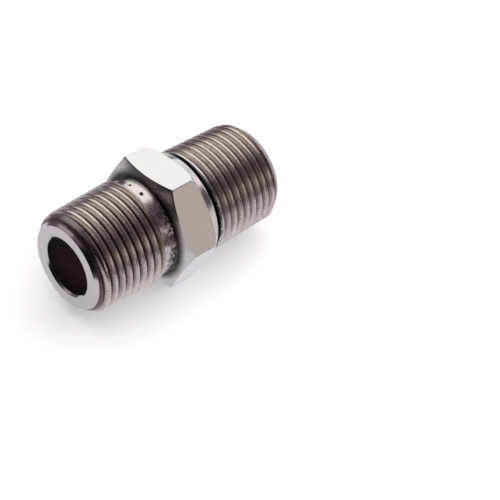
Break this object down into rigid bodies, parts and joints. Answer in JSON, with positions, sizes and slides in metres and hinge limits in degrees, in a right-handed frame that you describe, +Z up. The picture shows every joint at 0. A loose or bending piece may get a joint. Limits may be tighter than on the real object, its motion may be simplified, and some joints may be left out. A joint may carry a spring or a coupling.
{
  "type": "hex nipple",
  "caption": "Hexagon pipe nipple: a straight through bore, a male taper pipe thread on each end and a chamfered wrench hexagon between them.",
  "frame": {"origin": "on the bore axis, half way between the two end faces, which is also the centre of the bounding box", "axes": "+X along the bore from the front end to the rear end, +Z up and normal to the top wrench flat, +Y towards a hexagon corner"},
  "size_m": [0.0366, 0.0218, 0.0188],
  "materials": {
    "plated_thread": "bright nickel plate over turned brass, slightly warm and dull in the thread roots",
    "plated_hexagon": "bright nickel plate over smooth drawn and turned brass"
  },
  "bodies": {
    "root": {"front_threaded_end": "plated_thread", "hex_body": "plated_hexagon", "rear_threaded_end": "plated_thread"}
  },
  "joints": []
}
